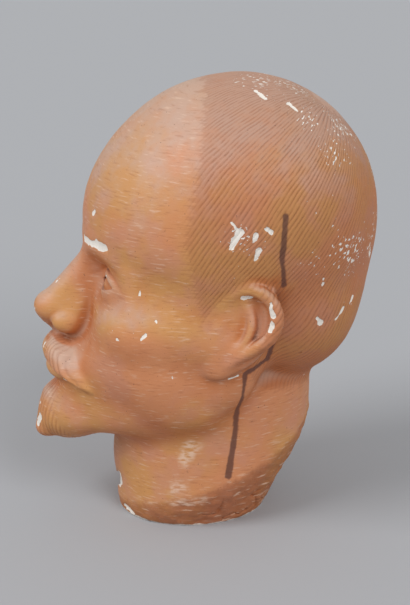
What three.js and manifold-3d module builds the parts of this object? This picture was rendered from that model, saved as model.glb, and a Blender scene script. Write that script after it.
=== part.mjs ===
// A sculpted male head, cast in plaster: one solid, larger than life, on the rough stump of its neck.
// Millimetres, +Z up. The face looks along -Y, the head's left is +X, and z = 0 is the flat it stands on.
import * as THREE from "three";
import Module from "manifold-3d";

// Driving sizes. The head is worked out in the millimetres of a life-size head and then enlarged.
const ENLARGE = 1.5;
const HEAD_PITCH = THREE.MathUtils.degToRad(12); // how far the face is lifted
const EAR_AXIS = { y: 18, z: 215 }; // where the line between the two ear canals crosses the middle plane

// Forms of the head are placed as [side, front, up] from the middle of the ear axis, life size.
// Side is the distance from the middle plane, so one form stands for left and right.
const MIDDLE_EASE = 2.5; // rounds the crease that mirroring would leave on the middle plane

const CRANIUM = { centre: [0, 6.5, 58.5], radii: [76, 95, 98] };
const PARIETAL = { centre: [27, -8, 88], radii: [50, 62, 58] };
const OCCIPUT = { centre: [0, -41, 13], radii: [58, 45, 48] };
const FOREHEAD = { centre: [0, 41, 57], radii: [61, 58, 54] };
const MASTOID = { centre: [53, -8, -22], radii: [12, 14, 24] };
const TEMPLE = { centre: [72, 56, 22], radius: 17, depth: 3 };

const MIDFACE = { centre: [0, 36, -14], radii: [54, 52, 66] };
const CHEEKBONE = { centre: [41, 58, -10], radii: [20, 24, 15] };
const CHEEK_ARCH = { from: [49, 58, -6], to: [59, 10, -4], radii: [11, 11] };
const CHEEK = { centre: [34, 44, -32], radii: [27, 38, 32] };
const JAW_EDGE = { from: [47, 8, -56], to: [16, 80, -86], radii: [13, 12] };
const JAW_FLOOR = { centre: [0, 36, -66], radii: [48, 50, 25] };
const MASSETER = { centre: [50, 26, -32], radii: [13, 24, 30] };
const MUZZLE = { centre: [0, 72, -52], radii: [34, 31, 25] };
const CHIN = { centre: [0, 86, -87], radii: [19, 15, 14] };

const BROW = { curve: [[7, 90, 32], [34, 96, 43], [50, 52, 18]], radii: [8, 7, 2] };
const ORBIT = { from: [46, 70, 27], to: [50, 63, -1], radii: [5, 6] };
const SOCKET = { centre: [34, 95, 14], radii: [20, 17, 12] };

const EYE = { centre: [32, 72, 13], radius: 12.5, white: [15.5, 11.8, 11] };
const LID = { radius: 14.7, middle: [31, 13], half: 13, tilt: 0.1, upper: 5.4, lower: 4.2 };
const LID_FOLD = { above: 4.4, width: 1.1, depth: 1.2 };

const NOSE_RIDGE = { from: [0, 88, 27], to: [0, 111, -17], radii: [8, 9.5] };
const NOSE_SIDES = { from: [0, 83, 22], to: [0, 97, -21], radii: [9, 15] };
const NOSE_TIP = { centre: [0, 114, -20], radii: [10, 10, 9] };
const NOSE_WING = { centre: [11.5, 102, -25.5], radii: [5.5, 9, 6.5] };
const NOSTRIL = { centre: [6.5, 108, -33.5], radii: [3.4, 7, 5] };
const COLUMELLA = { from: [0, 113, -27.5], to: [0, 104, -33.5], radii: [4, 4.5] };

const UPPER_LIP = { curve: [[0, 104, -48.5], [14, 104, -48], [25, 92, -54]], radii: [5, 5, 2.5] };
const LOWER_LIP = { curve: [[0, 103.5, -60], [14, 103, -60], [24, 92, -56]], radii: [6, 5.8, 2.5] };
const LIP_LINE = { curve: [[0, 109, -54.2], [14, 107, -53.6], [27, 91, -55]], radii: [1.3, 1.3, 1.2] };
const CHIN_FOLD = { centre: [0, 105, -71], radius: 9, depth: 2 };

// Seen from the front: the moustache is a raised band, the beard a wedge on the chin drawn out to a point
const MOUSTACHE = {
  curve: [[0, 0, -45], [20, 0, -46], [35, 0, -60]],
  radii: [7.5, 9, 1.5],
  rise: 4.5,
  edge: 1.6,
};
const GOATEE = { centre: [0, 89, -92], radii: [18, 14, 16] };
const GOATEE_TIP = { from: [0, 94, -86], to: [0, 101, -106], radii: [11, 5.5] };
const SOUL_PATCH = { from: [0, 0, -70], to: [0, 0, -96], radii: [6, 19], rise: 1.6, edge: 2.5 };

const EAR = { centre: [69, 1, 9], lean: 0.25, flare: 0.42, spread: 0.1 };
const EAR_PLATE = { centre: [4, 3.5, 0], radii: [32, 18.5, 4.5] };
const EAR_RIM = {
  centre: [11.5, 3],
  radii: [19.5, 18.5],
  start: 3.7,
  end: -0.5,
  radius: [3.4, 4.4],
  out: [1, 5],
};
const EAR_TAIL = { to: [-22, 6, 2], radius: 3 };
const EAR_BOWL = { centre: [8.5, 3, 7], radii: [18.5, 14.5, 8] };
const EAR_INNER = { curve: [[-13, 7, 2.5], [8, 14, 2.5], [20, -3, 0]], radii: [3.8, 3.6, 2.4] };
const EAR_CONCHA = { centre: [-2, -2, 4], radii: [9.5, 7.5, 8] };
const EAR_TRAGUS = { centre: [-4, -11, 2.5], radii: [6, 3.5, 4] };
const EAR_LOBE = { centre: [-26, 0, 0.5], radii: [10, 9, 4.5] };
const EAR_ROOT = { centre: [64, -1, 6], radii: [8, 12, 24] };

// The neck, at real size: an upright oval column whose foot is trimmed back on a slant all round.
const NECK = { y: 8, half: [78, 99] };
const FOOT = { y: -14, half: [60, 75], flare: 0.47, below: 7 };
const LARYNX = { centre: [0, -73, 62], radii: [22, 17, 28] };

// How softly the forms run into each other
const SOFT = {
  skull: 20, face: 18, head: 22, brow: 8, socket: 9, lid: 6,
  nose: 6, lip: 4, hair: 8, ear: 4, neck: 15, foot: 5,
};

function smoothMin(a, b, k) {
  const h = Math.max(k - Math.abs(a - b), 0) / k;
  return Math.min(a, b) - (h * h * k) / 4;
}
function smoothMax(a, b, k) {
  return -smoothMin(-a, -b, k);
}
function mix(a, b, t) {
  return a + (b - a) * t;
}
function bell(distance, width) {
  return Math.exp(-((distance / width) ** 2));
}

// Distances from a point p to a form, negative inside it
function ellipsoid(p, { centre, radii }) {
  const x = p[0] - centre[0];
  const y = p[1] - centre[1];
  const z = p[2] - centre[2];
  const [a, b, c] = radii;
  const reach = Math.hypot(x / a, y / b, z / c);
  const slope = Math.hypot(x / (a * a), y / (b * b), z / (c * c));
  return slope < 1e-9 ? -Math.min(a, b, c) : (reach * (reach - 1)) / slope;
}
function oval(x, y, [a, b]) {
  const reach = Math.hypot(x / a, y / b);
  const slope = Math.hypot(x / (a * a), y / (b * b));
  return slope < 1e-9 ? -Math.min(a, b) : (reach * (reach - 1)) / slope;
}
function rod(p, { from, to, radii }) {
  const dx = to[0] - from[0];
  const dy = to[1] - from[1];
  const dz = to[2] - from[2];
  const px = p[0] - from[0];
  const py = p[1] - from[1];
  const pz = p[2] - from[2];
  const share = (px * dx + py * dy + pz * dz) / (dx * dx + dy * dy + dz * dz);
  const t = Math.min(1, Math.max(0, share));
  return Math.hypot(px - dx * t, py - dy * t, pz - dz * t) - mix(radii[0], radii[1], t);
}

// A curve given by its two ends and the point that it bends towards, as a chain of short rods
const CURVE_RODS = 7;
function chain({ curve: [a, bend, b], radii }) {
  const at = (list, t) => mix(mix(list[0], list[1], t), mix(list[1], list[2], t), t);
  const point = (t) => [0, 1, 2].map((k) => at([a[k], bend[k], b[k]], t));
  return Array.from({ length: CURVE_RODS }, (_, i) => {
    const t0 = i / CURVE_RODS;
    const t1 = (i + 1) / CURVE_RODS;
    return { from: point(t0), to: point(t1), radii: [at(radii, t0), at(radii, t1)] };
  });
}
// Several rods with the ball that holds them all, so that a far point is settled at once
const FAR = 15;
function bundle(rods) {
  const ends = rods.flatMap((r) => [r.from, r.to]);
  const middle = [0, 1, 2].map((k) => ends.reduce((sum, e) => sum + e[k], 0) / ends.length);
  const reach = Math.max(...ends.map((e) => Math.hypot(...e.map((v, k) => v - middle[k])))) + 8;
  return { rods, middle, reach };
}
function nearest(p, { rods, middle, reach }) {
  const away = Math.hypot(p[0] - middle[0], p[1] - middle[1], p[2] - middle[2]) - reach;
  if (away > FAR) return away;
  let d = Infinity;
  for (const r of rods) d = Math.min(d, rod(p, r));
  return d;
}
function dent(p, { centre, radius, depth }) {
  return depth * bell(Math.hypot(p[0] - centre[0], p[1] - centre[1], p[2] - centre[2]), radius);
}

const CHAINS = {
  brow: bundle(chain(BROW)),
  upperLip: bundle(chain(UPPER_LIP)),
  lowerLip: bundle(chain(LOWER_LIP)),
  lipLine: bundle(chain(LIP_LINE)),
  moustache: bundle(chain(MOUSTACHE)),
  earInner: bundle(chain(EAR_INNER)),
  earRim: bundle(earRim()),
};

// The rim of the ear: an arc of an oval from the root over the top, then a straight run to the lobe
function earRim() {
  const rods = [];
  const steps = 14;
  const at = (t) => {
    const turn = mix(EAR_RIM.start, EAR_RIM.end, t);
    return [
      EAR_RIM.centre[0] + EAR_RIM.radii[0] * Math.sin(turn),
      EAR_RIM.centre[1] + EAR_RIM.radii[1] * Math.cos(turn),
      mix(EAR_RIM.out[0], EAR_RIM.out[1], Math.min(1, 2 * t)),
    ];
  };
  const thick = (t) => mix(EAR_RIM.radius[0], EAR_RIM.radius[1], Math.min(1, 2 * t));
  for (let i = 0; i < steps; i += 1) {
    const t0 = i / steps;
    const t1 = (i + 1) / steps;
    rods.push({ from: at(t0), to: at(t1), radii: [thick(t0), thick(t1)] });
  }
  rods.push({ from: at(1), to: EAR_TAIL.to, radii: [EAR_RIM.radius[1], EAR_TAIL.radius] });
  return rods;
}

function skull(p) {
  let d = smoothMin(ellipsoid(p, CRANIUM), ellipsoid(p, OCCIPUT), SOFT.skull);
  const sides = smoothMin(ellipsoid(p, PARIETAL), ellipsoid([-p[0], p[1], p[2]], PARIETAL), SOFT.skull);
  d = smoothMin(d, sides, SOFT.skull);
  d = smoothMin(d, ellipsoid(p, FOREHEAD), SOFT.face);
  return smoothMin(d, ellipsoid(p, MASTOID), SOFT.face);
}

function faceMass(p) {
  let d = smoothMin(ellipsoid(p, MIDFACE), ellipsoid(p, JAW_FLOOR), SOFT.face);
  d = smoothMin(d, rod(p, JAW_EDGE), SOFT.face);
  d = smoothMin(d, ellipsoid(p, MASSETER), SOFT.face);
  d = smoothMin(d, ellipsoid(p, MUZZLE), SOFT.face);
  d = smoothMin(d, ellipsoid(p, CHIN), SOFT.face);
  d = smoothMin(d, ellipsoid(p, CHEEK), SOFT.face);
  d = smoothMin(d, ellipsoid(p, CHEEKBONE), SOFT.face);
  return smoothMin(d, rod(p, CHEEK_ARCH), SOFT.face);
}

function nose(p) {
  let d = smoothMin(rod(p, NOSE_RIDGE), rod(p, NOSE_SIDES), 7);
  d = smoothMin(d, ellipsoid(p, NOSE_TIP), 5);
  d = smoothMin(d, rod(p, COLUMELLA), 4);
  return smoothMin(d, ellipsoid(p, NOSE_WING), 4);
}

// The opening between the lids, an almond: where two circles cross, seen from the front
function lidOpening(p) {
  const { middle, half, tilt, upper, lower } = LID;
  const x = p[0] - middle[0];
  const y = p[2] - middle[1];
  const m = x * Math.cos(tilt) + y * Math.sin(tilt);
  const n = y * Math.cos(tilt) - x * Math.sin(tilt);
  const above = (half * half + upper * upper) / (2 * upper);
  const below = (half * half + lower * lower) / (2 * lower);
  const top = Math.hypot(m, n - upper + above) - above;
  const bottom = Math.hypot(m, n + lower - below) - below;
  return { gap: Math.max(top, bottom), top, m, n };
}

function withEyes(p, face) {
  const fromEye = Math.hypot(p[0] - EYE.centre[0], p[1] - EYE.centre[1], p[2] - EYE.centre[2]);
  if (fromEye > 40) return face;
  let d = smoothMin(face, fromEye - LID.radius, SOFT.lid);
  const opening = lidOpening(p);
  const fold = Math.abs(opening.top - LID_FOLD.above);
  if (p[1] > EYE.centre[1]) {
    if (opening.n > 0) d += LID_FOLD.depth * bell(fold, LID_FOLD.width) * bell(opening.m, 13);
    d = smoothMax(d, -opening.gap, 0.8);
  }
  const white = ellipsoid(p, { centre: EYE.centre, radii: EYE.white });
  return Math.min(d, smoothMin(fromEye - EYE.radius, white, 2));
}

function withMouth(p, face) {
  let d = smoothMin(face, nearest(p, CHAINS.upperLip), SOFT.lip);
  d = smoothMin(d, nearest(p, CHAINS.lowerLip), SOFT.lip);
  d += dent(p, CHIN_FOLD);
  return smoothMax(d, -nearest(p, CHAINS.lipLine), 1.5);
}

function raised(distance, { rise, edge }) {
  return rise / (1 + Math.exp((2 * distance) / edge));
}
function withBeard(p, face) {
  const seen = [p[0], 0, p[2]];
  let d = smoothMin(face, ellipsoid(p, GOATEE), SOFT.hair);
  d = smoothMin(d, rod(p, GOATEE_TIP), SOFT.hair);
  d -= raised(nearest(seen, CHAINS.moustache), MOUSTACHE);
  return d - raised(rod(seen, SOUL_PATCH), SOUL_PATCH);
}

// The ear's own directions: up along it, back across it, and out of its face
function inEar(p) {
  const side = p[0] - EAR.centre[0];
  const front = p[1] - EAR.centre[1];
  const up = p[2] - EAR.centre[2];
  const along = up * Math.cos(EAR.lean) - front * Math.sin(EAR.lean);
  const back = -front * Math.cos(EAR.lean) - up * Math.sin(EAR.lean);
  const out = side - EAR.spread * along;
  const across = back * Math.cos(EAR.flare) + out * Math.sin(EAR.flare);
  return [along, across, out * Math.cos(EAR.flare) - back * Math.sin(EAR.flare)];
}

function withEars(p, head) {
  const q = inEar(p);
  if (Math.hypot(q[0], q[1], q[2]) > 60) return head;
  let d = smoothMin(ellipsoid(q, EAR_PLATE), ellipsoid(q, EAR_LOBE), 5);
  d = smoothMax(d, -ellipsoid(q, EAR_BOWL), 2.5);
  d = smoothMin(d, nearest(q, CHAINS.earInner), 3);
  d = smoothMax(d, -ellipsoid(q, EAR_CONCHA), 2.5);
  d = smoothMin(d, nearest(q, CHAINS.earRim), 2);
  d = smoothMin(d, ellipsoid(q, EAR_TRAGUS), 2.5);
  return smoothMin(smoothMin(head, ellipsoid(p, EAR_ROOT), 8), d, SOFT.ear);
}

const BEHIND_FACE = 40; // nothing of the features lies further back
function headForm(p) {
  let d = smoothMin(skull(p), faceMass(p), SOFT.head);
  d += dent(p, TEMPLE);
  if (p[1] < BEHIND_FACE) return withEars(p, d);
  d = smoothMin(d, nearest(p, CHAINS.brow), SOFT.brow);
  d = smoothMin(d, rod(p, ORBIT), SOFT.brow);
  d = smoothMax(d, -ellipsoid(p, SOCKET), SOFT.socket);
  d = smoothMin(d, nose(p), SOFT.nose);
  d = smoothMax(d, -ellipsoid(p, NOSTRIL), 1.5);
  d = withEyes(p, d);
  d = withMouth(p, d);
  d = withBeard(p, d);
  return withEars(p, d);
}

function neckForm(x, y, z) {
  const column = oval(x, y - NECK.y, NECK.half);
  const larynx = ellipsoid([x, y, z], LARYNX);
  const trimmed = FOOT.half.map((half) => half + FOOT.flare * z);
  const foot = oval(x, y - FOOT.y, trimmed) / Math.hypot(1, FOOT.flare);
  const neck = smoothMax(smoothMin(column, larynx, 16), foot, SOFT.foot);
  return Math.max(neck, -FOOT.below - z);
}

// The whole work: below zero inside, above zero outside
const NECK_TOP = 165;
export function form(x, y, z) {
  const cos = Math.cos(HEAD_PITCH);
  const sin = Math.sin(HEAD_PITCH);
  const ahead = (EAR_AXIS.y - y) / ENLARGE;
  const above = (z - EAR_AXIS.z) / ENLARGE;
  const side = Math.hypot(x / ENLARGE, MIDDLE_EASE) - MIDDLE_EASE * 0.4;
  const head = ENLARGE * headForm([side, ahead * cos + above * sin, above * cos - ahead * sin]);
  const neck = smoothMax(neckForm(x, y, z), z - NECK_TOP, 20);
  return smoothMin(head, neck, SOFT.neck);
}

// Grid planes: closest together across the face, then across the ears
function planes(stops) {
  const list = [stops[0][0]];
  for (const [from, to, step] of stops) {
    const count = Math.round((to - from) / step);
    for (let i = 1; i <= count; i += 1) list.push(mix(from, to, i / count));
  }
  return list;
}
const FACE_STEP = 4.6;
const EAR_STEP = 5.5;
const PLAIN_STEP = 9;
const GRID = {
  x: planes([
    [-142, -100, EAR_STEP],
    [-100, -68, PLAIN_STEP],
    [-68, 68, FACE_STEP],
    [68, 100, PLAIN_STEP],
    [100, 142, EAR_STEP],
  ]),
  y: planes([[-210, -80, FACE_STEP], [-80, -20, PLAIN_STEP], [-20, 60, EAR_STEP], [60, 190, PLAIN_STEP]]),
  z: planes([[-28, 100, PLAIN_STEP], [100, 290, FACE_STEP], [290, 470, PLAIN_STEP]]),
};
const TRIANGLES = 9500; // what is kept of them by thin()

// Slope of the form, by small steps
const NUDGE = 0.2;
function slope(x, y, z) {
  return [
    (form(x + NUDGE, y, z) - form(x - NUDGE, y, z)) / (2 * NUDGE),
    (form(x, y + NUDGE, z) - form(x, y - NUDGE, z)) / (2 * NUDGE),
    (form(x, y, z + NUDGE) - form(x, y, z - NUDGE)) / (2 * NUDGE),
  ];
}

// Surface of the form: one corner in each grid cell that it crosses,
// and one quad round each grid edge that it cuts. A ring is the four cells round an edge, as steps back.
const RINGS = [
  { edge: [1, 0, 0], ring: [[0, 1, 1], [0, 0, 1], [0, 0, 0], [0, 1, 0]] },
  { edge: [0, 1, 0], ring: [[1, 0, 1], [1, 0, 0], [0, 0, 0], [0, 0, 1]] },
  { edge: [0, 0, 1], ring: [[1, 1, 0], [0, 1, 0], [0, 0, 0], [1, 0, 0]] },
];

export function skin(grid) {
  const { x: gx, y: gy, z: gz } = grid;
  const [nx, ny, nz] = [gx.length, gy.length, gz.length];
  const index = (i, j, k) => (k * ny + j) * nx + i;
  const value = new Float64Array(nx * ny * nz);
  for (let k = 0; k < nz; k += 1) {
    for (let j = 0; j < ny; j += 1) {
      for (let i = 0; i < nx; i += 1) value[index(i, j, k)] = form(gx[i], gy[j], gz[k]);
    }
  }
  fillPinches(value, [nx, ny, nz]);
  const corner = new Int32Array(nx * ny * nz).fill(-1);
  const points = [];
  const at = (i, j, k) => [gx[i], gy[j], gz[k]];
  for (let k = 0; k + 1 < nz; k += 1) {
    for (let j = 0; j + 1 < ny; j += 1) {
      for (let i = 0; i + 1 < nx; i += 1) {
        const point = cellPoint(i, j, k, value, index, at);
        if (point) {
          corner[index(i, j, k)] = points.length;
          points.push(point);
        }
      }
    }
  }
  const faces = [];
  const quad = ([a, b, c, d], flip) => {
    const [p, q, r, s] = [a, b, c, d].map((v) => new THREE.Vector3(...points[v]));
    const split = p.distanceTo(r) < q.distanceTo(s) ? [a, b, c, a, c, d] : [b, c, d, b, d, a];
    faces.push(...(flip ? split.reverse() : split));
  };
  for (let k = 1; k + 1 < nz; k += 1) {
    for (let j = 1; j + 1 < ny; j += 1) {
      for (let i = 1; i + 1 < nx; i += 1) {
        const inside = value[index(i, j, k)] < 0;
        for (const { edge, ring } of RINGS) {
          if (inside === value[index(i + edge[0], j + edge[1], k + edge[2])] < 0) continue;
          quad(ring.map((back) => corner[index(i - back[0], j - back[1], k - back[2])]), !inside);
        }
      }
    }
  }
  return { points, faces };
}

// Two inside grid points that meet only across the diagonal of a face or of a cell would pinch the surface:
// the nearest outside point beside them is taken in, until no such pair is left
const PINCHES = [[1, 1, 0], [1, 0, 1], [0, 1, 1], [1, 1, 1]];
function fillPinches(value, [nx, ny, nz]) {
  const stride = [1, nx, nx * ny];
  let found = true;
  while (found) {
    found = false;
    for (let k = 0; k + 1 < nz; k += 1) {
      for (let j = 0; j + 1 < ny; j += 1) {
        for (let i = 0; i + 1 < nx; i += 1) {
          const start = (k * ny + j) * nx + i;
          for (const span of PINCHES) {
            if (fillPinch(value, start, span, stride)) found = true;
          }
        }
      }
    }
  }
}
function fillPinch(value, start, span, stride) {
  const axes = [0, 1, 2].filter((axis) => span[axis]);
  const spots = Array.from({ length: 2 ** axes.length }, (_, n) =>
    axes.reduce((sum, axis, bit) => sum + ((n >> bit) & 1) * stride[axis], start),
  );
  const last = spots.length - 1;
  for (let n = 0; n < spots.length / 2; n += 1) {
    const pair = [spots[n], spots[last - n]];
    const rest = spots.filter((spot) => !pair.includes(spot));
    const inside = pair.every((spot) => value[spot] < 0) && rest.every((spot) => value[spot] >= 0);
    const outside = pair.every((spot) => value[spot] >= 0) && rest.every((spot) => value[spot] < 0);
    if (!inside && !outside) continue;
    const fill = (inside ? rest : pair).reduce((a, b) => (value[a] < value[b] ? a : b));
    value[fill] = -0.01;
    return true;
  }
  return false;
}

// The middle of a cell's edge crossings, drawn onto the surface but kept inside the cell
function cellPoint(i, j, k, value, index, at) {
  const low = at(i, j, k);
  const high = at(i + 1, j + 1, k + 1);
  const sum = [0, 0, 0];
  let count = 0;
  const corners = [];
  for (let n = 0; n < 8; n += 1) {
    const o = [n & 1, (n >> 1) & 1, (n >> 2) & 1];
    corners.push({ o, v: value[index(i + o[0], j + o[1], k + o[2])] });
  }
  for (let n = 0; n < 8; n += 1) {
    for (let axis = 0; axis < 3; axis += 1) {
      const other = n | (1 << axis);
      if (other === n) continue;
      const [a, b] = [corners[n], corners[other]];
      if (a.v < 0 === b.v < 0) continue;
      const t = a.v / (a.v - b.v);
      for (let m = 0; m < 3; m += 1) sum[m] += mix(low[m], high[m], m === axis ? t : a.o[m]);
      count += 1;
    }
  }
  if (!count) return null;
  let point = sum.map((s) => s / count);
  for (let pass = 0; pass < 3; pass += 1) {
    const d = form(...point);
    const g = slope(...point);
    const scale = d / Math.max(0.05, g[0] ** 2 + g[1] ** 2 + g[2] ** 2);
    point = point.map((v, m) => Math.min(high[m], Math.max(low[m], v - g[m] * scale)));
  }
  return point;
}

// A quadric sums the squared distances to the planes of some triangles, for any point
function quadric(normal, point, area) {
  const plane = [normal.x, normal.y, normal.z, -normal.dot(point)];
  const q = [];
  for (let i = 0; i < 4; i += 1) {
    for (let j = i; j < 4; j += 1) q.push(plane[i] * plane[j] * area * (i === j ? 1 : 2));
  }
  return q;
}
function quadricAt(q, point) {
  const v = [point.x, point.y, point.z, 1];
  let sum = 0;
  let m = 0;
  for (let i = 0; i < 4; i += 1) {
    for (let j = i; j < 4; j += 1) {
      sum += q[m] * v[i] * v[j];
      m += 1;
    }
  }
  return sum;
}
function areaNormal(a, b, c) {
  return new THREE.Vector3().crossVectors(b.clone().sub(a), c.clone().sub(a));
}

// Thins a surface out: the edges that matter least to its shape are drawn together into one corner each
const EDGE_WEIGHT = 0.02; // how much a long edge is spared
const PASS_SHARE = 0.12; // the part of all edges that one pass may look at
const LEAST_TURN = 0.35; // cosine between a triangle's directions before and after
function thin(surface, goal) {
  const spots = surface.points.map((p) => new THREE.Vector3(...p));
  const triangles = [];
  for (let n = 0; n < surface.faces.length; n += 3) triangles.push(surface.faces.slice(n, n + 3));
  const around = spots.map(() => new Set());
  const quadrics = spots.map(() => new Array(10).fill(0));
  triangles.forEach((triangle, n) => {
    const [a, b, c] = triangle.map((v) => spots[v]);
    const normal = areaNormal(a, b, c);
    const area = normal.length() / 2;
    const q = quadric(normal.normalize(), a, area);
    for (const v of triangle) {
      around[v].add(n);
      q.forEach((value, m) => (quadrics[v][m] += value));
    }
  });
  const work = { spots, triangles, around, quadrics };
  let left = triangles.length;
  while (left > goal) {
    const edges = edgesByCost(work);
    const touched = new Set();
    for (const edge of edges.slice(0, edges.length * PASS_SHARE)) {
      if (left <= goal) break;
      if (touched.has(edge.a) || touched.has(edge.b) || !mayJoin(work, edge)) continue;
      for (const n of [...around[edge.a], ...around[edge.b]]) {
        for (const v of triangles[n]) touched.add(v);
      }
      join(work, edge);
      left -= 2;
    }
  }
  const used = new Map();
  const faces = triangles.filter(Boolean).flat();
  for (const v of faces) if (!used.has(v)) used.set(v, used.size);
  const points = [...used.keys()].map((v) => spots[v].toArray());
  return { points, faces: faces.map((v) => used.get(v)) };
}

function edgesByCost({ spots, triangles, quadrics }) {
  const edges = [];
  for (const triangle of triangles) {
    for (let n = 0; triangle && n < 3; n += 1) {
      const [a, b] = [triangle[n], triangle[(n + 1) % 3]];
      if (a > b) continue;
      const q = quadrics[a].map((value, m) => value + quadrics[b][m]);
      const middle = spots[a].clone().add(spots[b]).multiplyScalar(0.5);
      const choices = [middle, spots[a], spots[b]].map((point) => ({ point, cost: quadricAt(q, point) }));
      const best = choices.reduce((x, y) => (y.cost < x.cost ? y : x));
      const length = spots[a].distanceToSquared(spots[b]);
      edges.push({ a, b, point: best.point.clone(), cost: best.cost + EDGE_WEIGHT * length });
    }
  }
  return edges.sort((x, y) => x.cost - y.cost);
}

// An edge may go if its ends share only the two corners beside it, and no triangle round it turns over
function mayJoin({ spots, triangles, around }, { a, b, point }) {
  const ring = (v) => new Set([...around[v]].flatMap((n) => triangles[n]).filter((w) => w !== v));
  const ringOfB = ring(b);
  const shared = [...ring(a)].filter((v) => ringOfB.has(v));
  if (shared.length !== 2) return false;
  for (const v of [a, b]) {
    for (const n of around[v]) {
      const triangle = triangles[n];
      if (triangle.includes(a) && triangle.includes(b)) continue;
      const before = areaNormal(...triangle.map((w) => spots[w]));
      const after = areaNormal(...triangle.map((w) => (w === v ? point : spots[w])));
      if (before.dot(after) < LEAST_TURN * before.length() * after.length()) return false;
      if (after.length() < 0.5) return false;
    }
  }
  return true;
}
function join({ spots, triangles, around, quadrics }, { a, b, point }) {
  spots[a].copy(point);
  quadrics[b].forEach((value, m) => (quadrics[a][m] += value));
  for (const n of around[b]) {
    const triangle = triangles[n];
    if (triangle.includes(a)) {
      for (const v of triangle) around[v].delete(n);
      triangles[n] = null;
    } else {
      triangles[n] = triangle.map((v) => (v === b ? a : v));
      around[a].add(n);
    }
  }
}

const wasm = await Module();
wasm.setup();

function solid(points, faces) {
  const mesh = {
    numProp: 3,
    vertProperties: new Float32Array(points.flat()),
    triVerts: new Uint32Array(faces),
  };
  return new wasm.Manifold(new wasm.Mesh(mesh));
}

function boxSolid(size, place) {
  const box = new THREE.BoxGeometry(...size).translate(...place);
  const points = [];
  const seen = new Map();
  const position = box.getAttribute("position");
  const faces = Array.from(box.index.array, (v) => {
    const point = [position.getX(v), position.getY(v), position.getZ(v)];
    const key = point.join();
    if (!seen.has(key)) {
      seen.set(key, points.length);
      points.push(point);
    }
    return seen.get(key);
  });
  return solid(points, faces);
}

function geometryOf(manifold) {
  const { vertProperties, triVerts } = manifold.getMesh();
  const geometry = new THREE.BufferGeometry();
  geometry.setAttribute("position", new THREE.BufferAttribute(vertProperties, 3));
  geometry.setIndex(new THREE.BufferAttribute(triVerts, 1));
  geometry.computeVertexNormals();
  return geometry;
}

const { points, faces } = thin(skin(GRID), TRIANGLES);
const ground = boxSolid([600, 600, 100], [0, 0, -50]);
const head = new THREE.Mesh(
  geometryOf(solid(points, faces).subtract(ground)),
  new THREE.MeshStandardMaterial({ color: 0xc07a4c, roughness: 0.75, metalness: 0 }),
);
head.name = "plaster_head";

const work = new THREE.Group();
work.add(head);
export default work;
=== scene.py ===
"""A sculpted male head in painted plaster, larger than life, standing on the roughly trimmed stump of its neck.

The head is worked out as one closed form, finely meshed, and then carved: combed hair, strands in the moustache and
the beard, a rough foot, and chips where the paint has come off the plaster.
Sizes below are in millimetres; the pieces themselves are in metres.
"""

import math
from concurrent.futures import ThreadPoolExecutor

import bpy
import numpy as np
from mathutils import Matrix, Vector


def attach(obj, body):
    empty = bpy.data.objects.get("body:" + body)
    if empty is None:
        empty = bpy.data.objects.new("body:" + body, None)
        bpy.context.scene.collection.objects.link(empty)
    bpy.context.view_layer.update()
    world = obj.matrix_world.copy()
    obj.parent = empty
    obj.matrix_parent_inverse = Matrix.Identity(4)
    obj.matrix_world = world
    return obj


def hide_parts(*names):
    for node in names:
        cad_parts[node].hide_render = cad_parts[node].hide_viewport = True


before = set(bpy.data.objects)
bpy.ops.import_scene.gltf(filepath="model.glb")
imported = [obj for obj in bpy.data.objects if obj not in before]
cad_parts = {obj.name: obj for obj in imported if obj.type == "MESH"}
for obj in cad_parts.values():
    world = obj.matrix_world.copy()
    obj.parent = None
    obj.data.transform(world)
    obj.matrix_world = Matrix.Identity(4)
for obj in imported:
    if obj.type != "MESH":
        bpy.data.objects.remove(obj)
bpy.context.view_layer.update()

MM = 0.001

# The frame of the head's own sizes: life-size millimetres as [side, front, up] from the middle of the ear axis
ENLARGE = 1.5
HEAD_PITCH = math.radians(12)
EAR_AXIS = {"y": 18, "z": 215}
MIDDLE_EASE = 2.5

# Skull and face. An ellipsoid is (centre, radii), a rod is (from, to, (radius, radius)),
# and a curve is (its start, the point it bends towards, its end, three radii).
CRANIUM = ((0, 6.5, 58.5), (76, 95, 98))
PARIETAL = ((27, -8, 88), (50, 62, 58))
OCCIPUT = ((0, -41, 13), (58, 45, 48))
FOREHEAD = ((0, 41, 57), (61, 58, 54))
MASTOID = ((53, -8, -22), (12, 14, 24))
TEMPLE = {"centre": (72, 56, 22), "radius": 17, "depth": 3}
MIDFACE = ((0, 36, -14), (54, 52, 66))
CHEEKBONE = ((41, 58, -10), (20, 24, 15))
CHEEK_ARCH = ((49, 58, -6), (59, 10, -4), (11, 11))
CHEEK = ((34, 44, -32), (27, 38, 32))
JAW_EDGE = ((47, 8, -56), (16, 80, -86), (13, 12))
JAW_FLOOR = ((0, 36, -66), (48, 50, 25))
MASSETER = ((50, 26, -32), (13, 24, 30))
MUZZLE = ((0, 72, -52), (34, 31, 25))
CHIN = ((0, 86, -87), (19, 15, 14))
BROW = ((7, 90, 32), (34, 96, 43), (50, 52, 18), (8, 7, 2))
ORBIT = ((46, 70, 27), (50, 63, -1), (5, 6))
SOCKET = ((34, 95, 14), (20, 17, 12))

EYE = {"centre": (32, 72, 13), "radius": 12.5, "white": (15.5, 11.8, 11)}
LID = {"radius": 14.7, "middle": (31, 13), "half": 13, "tilt": 0.1, "upper": 5.4, "lower": 4.2}
LID_FOLD = {"above": 4.4, "width": 1.1, "depth": 1.2}

NOSE_RIDGE = ((0, 88, 27), (0, 111, -17), (8, 9.5))
NOSE_SIDES = ((0, 83, 22), (0, 97, -21), (9, 15))
NOSE_TIP = ((0, 114, -20), (10, 10, 9))
NOSE_WING = ((11.5, 102, -25.5), (5.5, 9, 6.5))
NOSTRIL = ((6.5, 108, -33.5), (3.4, 7, 5))
COLUMELLA = ((0, 113, -27.5), (0, 104, -33.5), (4, 4.5))

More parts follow.
